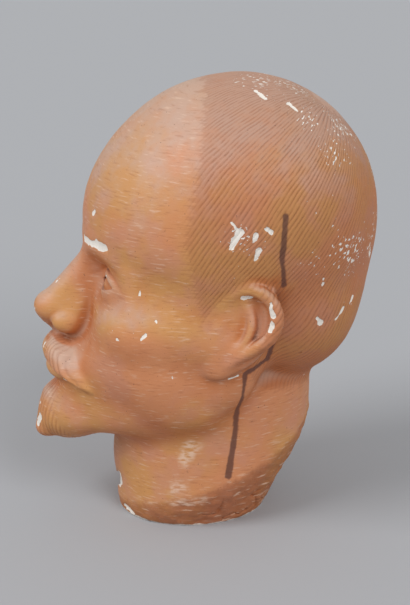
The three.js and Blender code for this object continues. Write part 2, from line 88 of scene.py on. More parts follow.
UPPER_LIP = ((0, 104, -48.5), (14, 104, -48), (25, 92, -54), (5, 5, 2.5))
LOWER_LIP = ((0, 103.5, -60), (14, 103, -60), (24, 92, -56), (6, 5.8, 2.5))
LIP_LINE = ((0, 109, -54.2), (14, 107, -53.6), (27, 91, -55), (1.3, 1.3, 1.2))
CHIN_FOLD = {"centre": (0, 105, -71), "radius": 9, "depth": 2}

MOUSTACHE = ((0, 0, -45), (20, 0, -46), (35, 0, -60), (7.5, 9, 1.5))
MOUSTACHE_RISE = {"rise": 4.5, "edge": 1.6}
GOATEE = ((0, 89, -92), (18, 14, 16))
GOATEE_TIP = ((0, 94, -86), (0, 101, -106), (11, 5.5))
SOUL_PATCH = ((0, 0, -70), (0, 0, -96), (6, 19))
SOUL_PATCH_RISE = {"rise": 1.6, "edge": 2.5}

# The ear is given in its own directions: up along it, back across it, and out of its face
EAR = {"centre": (69, 1, 9), "lean": 0.25, "flare": 0.42, "spread": 0.1}
EAR_PLATE = ((4, 3.5, 0), (32, 18.5, 4.5))
EAR_RIM = {"centre": (11.5, 3), "radii": (19.5, 18.5), "start": 3.7, "end": -0.5, "radius": (3.4, 4.4), "out": (1, 5)}
EAR_TAIL = {"to": (-22, 6, 2), "radius": 3}
EAR_BOWL = ((8.5, 3, 7), (18.5, 14.5, 8))
EAR_INNER = ((-13, 7, 2.5), (8, 14, 2.5), (20, -3, 0), (3.8, 3.6, 2.4))
EAR_CONCHA = ((-2, -2, 4), (9.5, 7.5, 8))
EAR_TRAGUS = ((-4, -11, 2.5), (6, 3.5, 4))
EAR_LOBE = ((-26, 0, 0.5), (10, 9, 4.5))
EAR_ROOT = ((64, -1, 6), (8, 12, 24))

# The neck, at real size
NECK = {"y": 8, "half": (78, 99), "top": 165}
FOOT = {"y": -14, "half": (60, 75), "flare": 0.47, "below": 7}
LARYNX = ((0, -73, 62), (22, 17, 28))

# How softly the forms run into each other
SOFT = {
    "skull": 20, "face": 18, "head": 22, "brow": 8, "socket": 9, "lid": 6,
    "nose": 6, "lip": 4, "hair": 8, "ear": 4, "neck": 15, "foot": 5,
}

# From here on, places and sizes are real millimetres.
# Lines that turn round an axis, like the teeth of a comb: (a point on it, its direction, lines in a full turn)
FANS = {
    "comb": ((0, 28, 300), (0, 0.602, 0.799), 190),
    "moustache": ((0, -111, 221), (0, -0.978, 0.208), 84),
    "beard": ((0, -133, 109), (0, 0.208, 0.978), 44),
}
COMB = {"depth": 0.75, "stroke": 11, "reach": 130}
HAIRLINE = {"front": 46, "temple": 60, "slant": 0.45}  # life-size, in the frame of the head
STRANDS = {"depth": 0.9, "behind": 70}
FOOT_ROUGH = {"depth": 1.3, "size": 11, "crack": 2.2}

# Places where paint and a little plaster have come away, as rods: (from, to, (radius, radius), depth)
FLAKES = [
    # the brow, an eyelid, the forehead and the nose
    ((20, -120, 298), (60, -103, 300), (3, 5.5), 0.9),
    ((54, -101, 269), (61, -99, 266), (1.8, 1), 0.6),
    ((39, -111, 328), (41, -110, 330), (3, 2.5), 0.6),
    ((1, -171, 219), (4, -170, 221), (1.6, 1.6), 0.4),
    ((4, -148, 248), (5, -144, 252), (1.2, 1), 0.3),
    # the moustache and the tip of the beard
    ((6, -160, 183), (12, -160, 172), (1.8, 1.6), 0.6),
    ((27, -149, 163), (34, -142, 156), (2, 1.5), 0.6),
    ((6, -171, 96), (10, -170, 105), (3, 4.5), 0.8),
    ((4, -168, 119), (5, -168, 113), (1.5, 1), 0.5),
    # the cheek
    ((85, -70, 266), (86, -71, 260), (1, 0.8), 0.3),
    ((97, -57, 239), (98, -56, 237), (1.8, 1.5), 0.4),
    ((99, -78, 227), (99, -77, 225), (1, 0.8), 0.3),
    ((92, -93, 219), (93, -91, 218), (2, 1.5), 0.4),
    ((101, -67, 226), (101, -71, 221), (1.2, 0.8), 0.4),
    ((101, -42, 181), (101, -43, 176), (1.4, 1.2), 0.4),
    # above the ear
    ((117, 12, 339), (119, 20, 330), (1.5, 2), 0.6),
    ((119, 20, 331), (118, 12, 316), (4, 3), 0.8),
    ((121, 34, 328), (121, 32, 320), (2, 1.5), 0.6),
    ((121, 37, 314), (119, 33, 300), (3, 1), 0.7),
    ((122, 44, 333), (122, 48, 330), (2.5, 3), 0.7),
    # the rim and the lobe of the ear
    ((129, 47, 263), (130, 49, 252), (2, 3.5), 0.6),
    ((130, 48, 244), (130, 47, 238), (4, 3), 0.7),
    ((113, 24, 264), (115, 32, 265), (2.2, 2), 0.5),
    ((104, 12, 179), (104, 21, 182), (1.2, 1.8), 0.5),
    # behind the ear and down the back of the head
    ((93, 97, 234), (91, 101, 228), (1.5, 3.5), 0.7),
    ((99, 102, 275), (97, 101, 267), (1, 1), 0.5),
    ((48, 156, 284), (44, 157, 279), (3, 3), 0.7),
    ((66, 136, 243), (68, 134, 236), (2.5, 1.5), 0.5),
    ((76, 126, 236), (82, 117, 226), (2, 1), 0.5),
    # the crown
    ((40, 44, 443), (52, 50, 439), (2.5, 2), 0.5),
    ((56, 72, 433), (63, 79, 428), (2, 1.5), 0.5),
    ((60, 114, 411), (66, 117, 405), (1.5, 1), 0.5),
    # the far side, which the photograph doesn't show
    ((-114, -4, 330), (-117, 5, 322), (3, 2), 0.7),
    ((-109, 96, 298), (-106, 97, 290), (2.5, 2), 0.6),
    ((-129, 48, 245), (-131, 51, 257), (2.5, 2), 0.6),
    ((-69, -39, 60), (-65, -47, 52), (3, 2), 0.6),
    # the broken front edge of the neck
    ((-19, -88, 16), (13, -90, 34), (7, 9), 2.6),
    ((23, -85, 6), (35, -77, 4), (3, 2), 1),
]
# Where white specks crowd, as rods: the crown, the worn middle of the back, and above the ear
SPECKLED = [
    ((21, 61, 445), (64, 116, 407), (30, 34)),
    ((25, 146, 389), (25, 166, 330), (9, 8)),
    ((108, 98, 298), (63, 151, 299), (16, 26)),
    ((120, 20, 324), (121, 38, 318), (12, 8)),
    ((-31, 72, 441), (-64, 116, 407), (14, 18)),
]
# Where the paint is rubbed thin
RUBBED = [
    ((73, -30, 78), (75, -21, 96), (5, 7)),
    ((68, -40, 46), (72, -31, 50), (5, 5)),
    ((76, -8, 37), (68, -41, 30), (2.5, 2)),
    ((-77, -10, 90), (-72, -31, 80), (6, 5)),
]
YELLOW = ((3, -93, 24), (6, -93, 34), (3, 2.5))
# The stain along the parting of the mould: above the ear, behind it, and down the side of the neck
SEAM = [
    [(121, 61, 345), (119, 59, 302), (112, 62, 275)],
    [(98, 60, 226), (89, 51, 191), (101, 29, 183)],
    [(101, 28, 182), (96, 27, 158), (79, 23, 130), (77, 21, 100), (78, 15, 62)],
]

# Fineness of the mesh
STEP = 1.1
LEVELS = 4
MESH_LOW = (-145.0, -215.0, -12.0)
MESH_HIGH = (145.0, 195.0, 470.0)
TRIANGLES = 190000


def smooth_min(a, b, k):
    h = np.maximum(k - np.abs(a - b), 0) / k
    return np.minimum(a, b) - h * h * k / 4


def smooth_max(a, b, k):
    return -smooth_min(-a, -b, k)


def bell(distance, width):
    return np.exp(-((distance / width) ** 2))


def ramp(value, low, high):
    t = np.clip((value - low) / (high - low), 0, 1)
    return t * t * (3 - 2 * t)


def length(p):
    return np.sqrt((p * p).sum(-1))


# Distances from points to a form, negative inside it
def ellipsoid(p, form):
    centre, radii = form
    q = (p - centre) / radii
    reach = length(q)
    slope = np.maximum(length(q / radii), 1e-9)
    return reach * (reach - 1) / slope


def rod(p, form):
    start, end, radii = (np.array(v, float) for v in form)
    along = end - start
    t = np.clip((p - start) @ along / (along @ along), 0, 1)
    gap = p - start - t[:, None] * along
    return length(gap) - (radii[0] + (radii[1] - radii[0]) * t)


CURVE_RODS = 7


def chain(form):
    start, bend, end, radii = form

    def at(values, t):
        a, b, c = (np.array(v, float) for v in values)
        return (a + (b - a) * t) * (1 - t) + (b + (c - b) * t) * t

    stops = [i / CURVE_RODS for i in range(CURVE_RODS + 1)]
    points = [at((start, bend, end), t) for t in stops]
    widths = [float(at(radii, t)) for t in stops]
    return list(zip(points[:-1], points[1:], zip(widths[:-1], widths[1:])))


def ear_rim():
    (up, back), (tall, wide) = EAR_RIM["centre"], EAR_RIM["radii"]
    thin, thick = EAR_RIM["radius"]
    stops = np.linspace(0, 1, 15)
    turns = EAR_RIM["start"] + (EAR_RIM["end"] - EAR_RIM["start"]) * stops
    out = np.interp(stops * 2, [0, 1], EAR_RIM["out"])
    points = np.stack([up + tall * np.sin(turns), back + wide * np.cos(turns), out], -1)
    widths = np.interp(stops * 2, [0, 1], [thin, thick])
    rods = list(zip(points[:-1], points[1:], zip(widths[:-1], widths[1:])))
    return rods + [(points[-1], EAR_TAIL["to"], (thick, EAR_TAIL["radius"]))]


CHAINS = {
    "brow": chain(BROW),
    "upper_lip": chain(UPPER_LIP),
    "lower_lip": chain(LOWER_LIP),
    "lip_line": chain(LIP_LINE),
    "moustache": chain(MOUSTACHE),
    "ear_inner": chain(EAR_INNER),
    "ear_rim": ear_rim(),
}


def nearest(p, name):
    return np.min([rod(p, part) for part in CHAINS[name]], axis=0)


def dent(p, form):
    return form["depth"] * bell(length(p - form["centre"]), form["radius"])


def skull(p):
    d = smooth_min(ellipsoid(p, CRANIUM), ellipsoid(p, OCCIPUT), SOFT["skull"])
    sides = smooth_min(ellipsoid(p, PARIETAL), ellipsoid(p * (-1, 1, 1), PARIETAL), SOFT["skull"])
    d = smooth_min(d, sides, SOFT["skull"])
    d = smooth_min(d, ellipsoid(p, FOREHEAD), SOFT["face"])
    return smooth_min(d, ellipsoid(p, MASTOID), SOFT["face"])


def face_mass(p):
    d = smooth_min(ellipsoid(p, MIDFACE), ellipsoid(p, JAW_FLOOR), SOFT["face"])
    d = smooth_min(d, rod(p, JAW_EDGE), SOFT["face"])
    for form in (MASSETER, MUZZLE, CHIN, CHEEK, CHEEKBONE):
        d = smooth_min(d, ellipsoid(p, form), SOFT["face"])
    return smooth_min(d, rod(p, CHEEK_ARCH), SOFT["face"])


def nose(p):
    d = smooth_min(rod(p, NOSE_RIDGE), rod(p, NOSE_SIDES), 7)
    d = smooth_min(d, ellipsoid(p, NOSE_TIP), 5)
    d = smooth_min(d, rod(p, COLUMELLA), 4)
    return smooth_min(d, ellipsoid(p, NOSE_WING), 4)


def lid_opening(p):
    """The almond between the lids, seen from the front, as two circles that cross."""
    half, upper, lower = LID["half"], LID["upper"], LID["lower"]
    x = p[:, 0] - LID["middle"][0]
    y = p[:, 2] - LID["middle"][1]
    m = x * math.cos(LID["tilt"]) + y * math.sin(LID["tilt"])
    n = y * math.cos(LID["tilt"]) - x * math.sin(LID["tilt"])
    above = (half * half + upper * upper) / (2 * upper)
    below = (half * half + lower * lower) / (2 * lower)
    top = np.hypot(m, n - upper + above) - above
    bottom = np.hypot(m, n + lower - below) - below
    return np.maximum(top, bottom), top, m, n


def with_eyes(p, face):
    from_eye = length(p - EYE["centre"])
    d = smooth_min(face, from_eye - LID["radius"], SOFT["lid"])
    gap, top, m, n = lid_opening(p)
    fold = LID_FOLD["depth"] * bell(np.abs(top - LID_FOLD["above"]), LID_FOLD["width"]) * bell(m, 13)
    ahead = p[:, 1] > EYE["centre"][1]
    d = np.where(ahead & (n > 0), d + fold, d)
    d = np.where(ahead, smooth_max(d, -gap, 0.8), d)
    white = ellipsoid(p, (EYE["centre"], EYE["white"]))
    eye = np.minimum(d, smooth_min(from_eye - EYE["radius"], white, 2))
    return np.where(from_eye > 40, face, eye)


def with_mouth(p, face):
    d = smooth_min(face, nearest(p, "upper_lip"), SOFT["lip"])
    d = smooth_min(d, nearest(p, "lower_lip"), SOFT["lip"])
    d = d + dent(p, CHIN_FOLD)
    return smooth_max(d, -nearest(p, "lip_line"), 1.5)


def raised(distance, form):
    return form["rise"] / (1 + np.exp(np.clip(2 * distance / form["edge"], -50, 50)))


def with_beard(p, face):
    seen = p * (1, 0, 1)
    d = smooth_min(face, ellipsoid(p, GOATEE), SOFT["hair"])
    d = smooth_min(d, rod(p, GOATEE_TIP), SOFT["hair"])
    d = d - raised(nearest(seen, "moustache"), MOUSTACHE_RISE)
    return d - raised(rod(seen, SOUL_PATCH), SOUL_PATCH_RISE)


def in_ear(p):
    side, front, up = (p - EAR["centre"]).T
    along = up * math.cos(EAR["lean"]) - front * math.sin(EAR["lean"])
    back = -front * math.cos(EAR["lean"]) - up * math.sin(EAR["lean"])
    out = side - EAR["spread"] * along
    across = back * math.cos(EAR["flare"]) + out * math.sin(EAR["flare"])
    return np.stack([along, across, out * math.cos(EAR["flare"]) - back * math.sin(EAR["flare"])], -1)


def with_ears(p, head):
    q = in_ear(p)
    near = length(q) <= 60
    q, d_head, p = q[near], head[near], p[near]
    d = smooth_min(ellipsoid(q, EAR_PLATE), ellipsoid(q, EAR_LOBE), 5)
    d = smooth_max(d, -ellipsoid(q, EAR_BOWL), 2.5)
    d = smooth_min(d, nearest(q, "ear_inner"), 3)
    d = smooth_max(d, -ellipsoid(q, EAR_CONCHA), 2.5)
    d = smooth_min(d, nearest(q, "ear_rim"), 2)
    d = smooth_min(d, ellipsoid(q, EAR_TRAGUS), 2.5)
    out = head.copy()
    out[near] = smooth_min(smooth_min(d_head, ellipsoid(p, EAR_ROOT), 8), d, SOFT["ear"])
    return out


BEHIND_FACE = 40


def with_face(p, head):
    d = smooth_min(head, nearest(p, "brow"), SOFT["brow"])
    d = smooth_min(d, rod(p, ORBIT), SOFT["brow"])
    d = smooth_max(d, -ellipsoid(p, SOCKET), SOFT["socket"])
    d = smooth_min(d, nose(p), SOFT["nose"])
    d = smooth_max(d, -ellipsoid(p, NOSTRIL), 1.5)
    d = with_eyes(p, d)
    d = with_mouth(p, d)
    return with_beard(p, d)


def head_form(p):
    d = smooth_min(skull(p), face_mass(p), SOFT["head"]) + dent(p, TEMPLE)
    ahead = p[:, 1] >= BEHIND_FACE
    d[ahead] = with_face(p[ahead], d[ahead])
    return with_ears(p, d)


def oval(x, y, half):
    q = np.stack([x / half[0], y / half[1]], -1)
    slope = np.hypot(q[:, 0] / half[0], q[:, 1] / half[1])
    reach = length(q)
    return reach * (reach - 1) / np.maximum(slope, 1e-9)


def trim(p):
    """Distance outside the cone that the foot of the neck is trimmed back to."""
    x, y, z = p.T
    half = [side + FOOT["flare"] * z for side in FOOT["half"]]
    return oval(x, y - FOOT["y"], half) / math.hypot(1, FOOT["flare"])


def column(p):
    x, y, _ = p.T
    return smooth_min(oval(x, y - NECK["y"], NECK["half"]), ellipsoid(p, LARYNX), 16)


def neck_form(p):
    neck = smooth_max(column(p), trim(p), SOFT["foot"])
    return np.maximum(neck, -FOOT["below"] - p[:, 2])


def to_head(p):
    """Points of the work in the life-size frame of the head, with the side told from the middle plane."""
    ahead = (EAR_AXIS["y"] - p[:, 1]) / ENLARGE
    above = (p[:, 2] - EAR_AXIS["z"]) / ENLARGE
    side = np.hypot(p[:, 0] / ENLARGE, MIDDLE_EASE) - MIDDLE_EASE * 0.4
    cos, sin = math.cos(HEAD_PITCH), math.sin(HEAD_PITCH)
    return np.stack([side, ahead * cos + above * sin, above * cos - ahead * sin], -1)


def whole(p):
    """The whole work, millimetres: below zero inside and above zero outside."""
    d = ENLARGE * head_form(to_head(p))
    low = p[:, 2] < NECK["top"] + 40
    neck = smooth_max(neck_form(p[low]), p[low, 2] - NECK["top"], 20)
    d[low] = smooth_min(d[low], neck, SOFT["neck"])
    return np.maximum(d, -p[:, 2])


CHUNK = 20000
WORKERS = 4


def measured(p):
    with ThreadPoolExecutor(WORKERS) as pool:
        return np.concatenate(list(pool.map(whole, [p[i : i + CHUNK] for i in range(0, len(p), CHUNK)])))


NUDGE = 0.15


def slope_at(p):
    steps = np.eye(3) * NUDGE
    return np.stack([measured(p + s) - measured(p - s) for s in steps], -1) / (2 * NUDGE)


# The surface of the form, as one corner in each grid cell that it crosses
CORNERS = np.array([[n & 1, (n >> 1) & 1, (n >> 2) & 1] for n in range(8)])
EDGES = [(n, n | (1 << axis)) for n in range(8) for axis in range(3) if not n & (1 << axis)]
REACH = 1.9  # how many half diagonals a cell's middle may be away from a surface that crosses the cell


def cells_on_surface():
    size = STEP * 2**LEVELS
    low = np.array(MESH_LOW)
    counts = np.ceil((np.array(MESH_HIGH) - low) / size).astype(int)
    cells = np.stack(np.meshgrid(*(np.arange(n) for n in counts), indexing="ij"), -1).reshape(-1, 3)
    for level in range(LEVELS + 1):
        d = measured(low + (cells + 0.5) * size)
        cells = cells[np.abs(d) < REACH * size * math.sqrt(3) / 2]
        if level < LEVELS:
            cells = (cells[:, None] * 2 + CORNERS).reshape(-1, 3)
            size /= 2
    return cells, counts * 2**LEVELS


def fill_pinches(values, corners):
    """Takes in the nearest outside point wherever two inside ones meet only across a diagonal."""
    spans = [[n for n in range(8) if n & ~mask == base] for mask in (3, 5, 6) for base in range(8) if not base & mask]
    spans.append(list(range(8)))
    found = True
    while found:
        found = False
        for span in spans:
            for n in range(len(span) // 2):
                pair = [span[n], span[-1 - n]]
                rest = [c for c in span if c not in pair]
                inside = values[corners] < 0
                held = inside[:, pair].all(1) & ~inside[:, rest].any(1)
                holes = ~inside[:, pair].any(1) & inside[:, rest].all(1)
                for hits, spots in ((held, rest), (holes, pair)):
                    if hits.any():
                        choice = corners[hits][:, spots]
                        best = choice[np.arange(len(choice)), values[choice].argmin(1)]
                        values[best] = -0.001
                        found = True


def surface():
    low = np.array(MESH_LOW)
    cells, counts = cells_on_surface()
    rows = np.array([1, counts[0] + 2, (counts[0] + 2) * (counts[1] + 2)])
    keys, corners = np.unique(((cells[:, None] + CORNERS) @ rows).ravel(), return_inverse=True)
    corners = corners.reshape(-1, 8)
    lattice = np.stack([keys % rows[1], keys % rows[2] // rows[1], keys // rows[2]], -1)
    values = measured(low + lattice * STEP)
    fill_pinches(values, corners)
    signs = values[corners] < 0
    mixed = signs.any(1) & ~signs.all(1)
    cells, corners = cells[mixed], corners[mixed]
    points = low + STEP * (cells + crossing_middles(values[corners]))
    points, normals = on_surface(points, low + cells * STEP)
    return points, quads(keys, values, cells @ rows, rows), normals


def crossing_middles(v):
    total = np.zeros((len(v), 3))
    count = np.zeros(len(v))
    for a, b in EDGES:
        cut = (v[:, a] < 0) != (v[:, b] < 0)
        share = np.where(cut, v[:, a] / np.where(cut, v[:, a] - v[:, b], 1), 0)
        place = CORNERS[a] + share[:, None] * (CORNERS[b] - CORNERS[a])
        total += place * cut[:, None]
        count += cut
    return total / count[:, None]


def on_surface(points, cell_low):
    slope = slope_at(points)
    steep = np.maximum((slope * slope).sum(-1), 0.05)
    for _ in range(3):
        points = points - slope * (measured(points) / steep)[:, None]
        points = np.clip(points, cell_low, cell_low + STEP)
    return points, slope / np.maximum(length(slope), 0.1)[:, None]


def quads(keys, values, cell_keys, rows):
    order = np.argsort(cell_keys)
    in_order = cell_keys[order]
    found = []
    for axis in range(3):
        after = np.searchsorted(keys, keys + rows[axis])
        after = np.minimum(after, len(keys) - 1)
        cut = (keys[after] == keys + rows[axis]) & ((values < 0) != (values[after] < 0))
        b, c = rows[(axis + 1) % 3], rows[(axis + 2) % 3]
        base = keys[cut]
        ring = np.stack([base - b - c, base - c, base, base - b], -1)
        inside = values[cut] < 0
        ring[~inside] = ring[~inside][:, ::-1]
        found.append(ring)
    rings = np.concatenate(found)
    spots = np.searchsorted(in_order, rings)
    return order[spots]


# Carving. Heights are in real millimetres, outwards.
def noise(p, size, seed):
    """Smooth noise from -1 to 1 whose features are about size millimetres wide."""
    q = p / size + seed * 7.31
    cell = np.floor(q).astype(np.int64)
    t = q - cell
    t = t * t * (3 - 2 * t)
    total = np.zeros(len(q))
    for corner in CORNERS:
        x, y, z = (cell + corner).T
        mixed = (x * 73856093) ^ (y * 19349663) ^ (z * 83492791) ^ (seed * 26544357)
        mixed = ((mixed ^ (mixed >> 13)) * 1274126177) & 0xFFFFFFFF
        mixed = mixed ^ (mixed >> 16)
        total += np.where(corner, t, 1 - t).prod(-1) * (mixed / 2**31 - 1)
    return total


def around(fan):
    """The point on the axis of a fan, the direction of the axis, and two directions across it."""
    point, axis, lines = FANS[fan]
    beside = np.array([1.0, 0, 0])
    axis = np.array(axis)
    return np.array(point, float), axis, beside, np.cross(axis, beside), lines


def turned(p, fan):
    """How far round the axis of a fan each point lies, in turns."""
    point, _, beside, across, _ = around(fan)
    q = p - point
    return np.arctan2(q @ beside, q @ across) / (2 * math.pi)


def from_crown(p):
    """The angle between the axis of the combed hair and each point, from 0 at the whorl."""
    point, axis, _, _, _ = around("comb")
    q = p - point
    return np.arccos(np.clip(q @ axis / length(q), -1, 1))


def wander(p):
    return 0.0055 * noise(p, 56, 1) + 0.0014 * noise(p, 17, 2)


def grooves(p, fan, drift, lines=None):
    """Depth across combed lines, from 0 on a ridge to 1 in a groove."""
    lines = lines or FANS[fan][2]
    return (0.5 + 0.5 * np.cos(2 * math.pi * lines * (turned(p, fan) + drift))) ** 2


def broken(p, fan, drift, reach, seed):
    """Strength of the strokes, which start and end along each line."""
    along = length(p - FANS[fan][0]) if fan != "comb" else from_crown(p) * COMB["reach"]
    place = np.stack([(turned(p, fan) + drift) * FANS[fan][2] * 0.9, along / reach, 0 * along], -1)
    return 0.62 + 0.38 * noise(place, 1, seed)


def hair_share(p, h):
    side, front, up = h.T
    line = HAIRLINE["front"] - HAIRLINE["slant"] * np.maximum(HAIRLINE["temple"] - up, 0)
    nape = np.interp(front, [-30, 12], [-36, 8])
    ear = length((in_ear(h) - (-2, 0, 4)) / (35, 21, 14))
    whorl = ramp(from_crown(p), 0.05, 0.3)
    return ramp(line - front, -6, 9) * ramp(up - nape, -5, 5) * ramp(ear, 0.9, 1.1) * whorl


def moustache_share(h):
    inside = 1 / (1 + np.exp(np.clip(nearest(h * (1, 0, 1), "moustache") / 0.8, -50, 50)))
    return inside * (h[:, 1] > STRANDS["behind"])


def beard_share(h):
    chin = np.minimum(ellipsoid(h, GOATEE), rod(h, GOATEE_TIP))
    chin = np.minimum(chin, np.where(h[:, 1] > STRANDS["behind"], rod(h * (1, 0, 1), SOUL_PATCH), 9))
    return ramp(-chin, -4, -0.5) * ramp(-66 - h[:, 2], 0, 4)


def foot_share(p):
    return ramp(trim(p) - column(p), -9, 1) * ramp(NECK["top"] - p[:, 2], 0, 30)


def in_rods(p, rods):
    return np.min([rod(p, form) for form in rods], axis=0)


def jagged(p):
    return 1.5 * noise(p, 6, 13) + 0.8 * noise(p, 2.6, 14)


def flaked(p):
    """How far inside a lost flake each point lies, in millimetres: below zero where the paint still holds."""
    return jagged(p) - in_rods(p, [flake[:3] for flake in FLAKES])


def flake_depth(p):
    rough = jagged(p)
    depths = [depth * ramp(rough - rod(p, (a, b, radii)), 0, 0.9) for a, b, radii, depth in FLAKES]
    return np.max(depths, axis=0) * (1 + 0.35 * noise(p, 9, 15))


def seam_near(p):
    """Nearness to the line where the mould was parted."""
    legs = [(a, b, (0.1, 0.1)) for line in SEAM for a, b in zip(line[:-1], line[1:])]
    gap = in_rods(p, legs) + 1.5 * noise(p, 14, 16)
    return bell(np.maximum(gap, 0), 3.2)


def carving(p, h):
    drift = wander(p)
    share = hair_share(p, h)
    fine = ramp(np.sin(from_crown(p)), 0.42, 0.56)
    combed = fine * grooves(p, "comb", drift) + (1 - fine) * grooves(p, "comb", drift, FANS["comb"][2] // 2)
    height = -COMB["depth"] * share * combed * broken(p, "comb", drift, COMB["stroke"], 4)
    for fan, part in (("moustache", moustache_share(h)), ("beard", beard_share(h))):
        own = drift * 0.3 + 0.004 * noise(p, 15, 3) * (fan == "moustache") + 0.014 * noise(p, 15, 3) * (fan == "beard")
        height = height - STRANDS["depth"] * part * grooves(p, fan, own) * broken(p, fan, own, 14, 5)
    height = height + 0.4 * noise(p, 36, 6) + 0.16 * noise(p, 10, 7)
    rough = foot_share(p)
    lumps = noise(p, FOOT_ROUGH["size"], 8) + 0.5 * noise(p, FOOT_ROUGH["size"] / 2.6, 9)
    crack = bell(noise(p, 26, 10) + 0.3 * noise(p, 8, 11), 0.045) * ramp(noise(p, 40, 12), -0.1, 0.3)
    height = height + rough * (FOOT_ROUGH["depth"] * lumps - FOOT_ROUGH["crack"] * crack)
    return height - flake_depth(p) - 0.7 * seam_near(p)


def build():
    points, faces, normals = surface()
    h = to_head(points)
    height = carving(points, h) * ramp(points[:, 2], 0.4, 3)
    points = points + normals * height[:, None]
    points[:, 2] = np.maximum(points[:, 2], 0)
    mesh = bpy.data.meshes.new("fine")
    mesh.vertices.add(len(points))
    mesh.vertices.foreach_set("co", (points * MM).ravel())
    mesh.loops.add(faces.size)
    mesh.loops.foreach_set("vertex_index", faces.ravel().astype(np.int32))
    mesh.polygons.add(len(faces))
    mesh.polygons.foreach_set("loop_start", np.arange(0, faces.size, 4, dtype=np.int32))
    mesh.update(calc_edges=True)
    mesh.validate()
    return thinned(mesh)


def thinned(mesh):
    """The mesh with its least telling triangles drawn together."""
    carrier = bpy.data.objects.new("painted_head", mesh)
    bpy.context.scene.collection.objects.link(carrier)
    thin = carrier.modifiers.new("thin", "DECIMATE")
    thin.ratio = min(1, TRIANGLES / (2 * len(mesh.polygons)))
    result = bpy.data.meshes.new_from_object(carrier.evaluated_get(bpy.context.evaluated_depsgraph_get()))
    carrier.modifiers.clear()
    carrier.data = result
    result.name = "painted_head"
    bpy.data.meshes.remove(mesh)
    for vertex in result.vertices:
        vertex.co.z = max(vertex.co.z, 0)
    result.polygons.foreach_set("use_smooth", [True] * len(result.polygons))
    return carrier


def keep(mesh, name, values):
    """Stores one vector for each corner of the mesh, for the paint to read."""
    layer = mesh.attributes.new(name, "FLOAT_VECTOR", "POINT")
    layer.data.foreach_set("vector", np.stack(values, -1).astype(np.float32).ravel())


def mark(piece):
    """What the paint has to know about each place on the head."""
    mesh = piece.data
    co = np.empty(len(mesh.vertices) * 3, np.float32)
    mesh.vertices.foreach_get("co", co)
    p = co.reshape(-1, 3).astype(float) / MM
    out = slope_at(p)
    out /= np.maximum(length(out), 0.1)[:, None]
    h = to_head(p)
    # How far down in a crease each place lies; the paint darkens these places as painted shade
    hollow = 1 - (measured(p + out * 5) / 5 + measured(p + out * 12) / 12) / 2
    ridge = 1 + (measured(p - out * 3) / 3 + measured(p - out * 8) / 8) / 2
    crowd = ramp(-in_rods(p, SPECKLED), -14, 4)
    rubbed = ramp(-in_rods(p, RUBBED), -3, 2)
    yellow = ramp(-rod(p, YELLOW) + noise(p, 5, 17), -0.6, 0.4)
    keep(mesh, "hair", (wander(p), hair_share(p, h), ramp(np.sin(from_crown(p)), 0.42, 0.56)))
    keep(mesh, "beard", (moustache_share(h), beard_share(h), foot_share(p)))
    keep(mesh, "form", (hollow, ridge, out[:, 2]))
    keep(mesh, "loss", (flaked(p), seam_near(p), crowd))
    keep(mesh, "wear", (rubbed, yellow, 0 * crowd))


# Paint
def linear(red, green, blue):
    """A colour given as it looks on a screen, from 0 to 255, as the renderer's own red, green and blue."""
    shares = [value / 255 for value in (red, green, blue)]
    return [v / 12.92 if v < 0.04 else ((v + 0.055) / 1.055) ** 2.4 for v in shares] + [1.0]


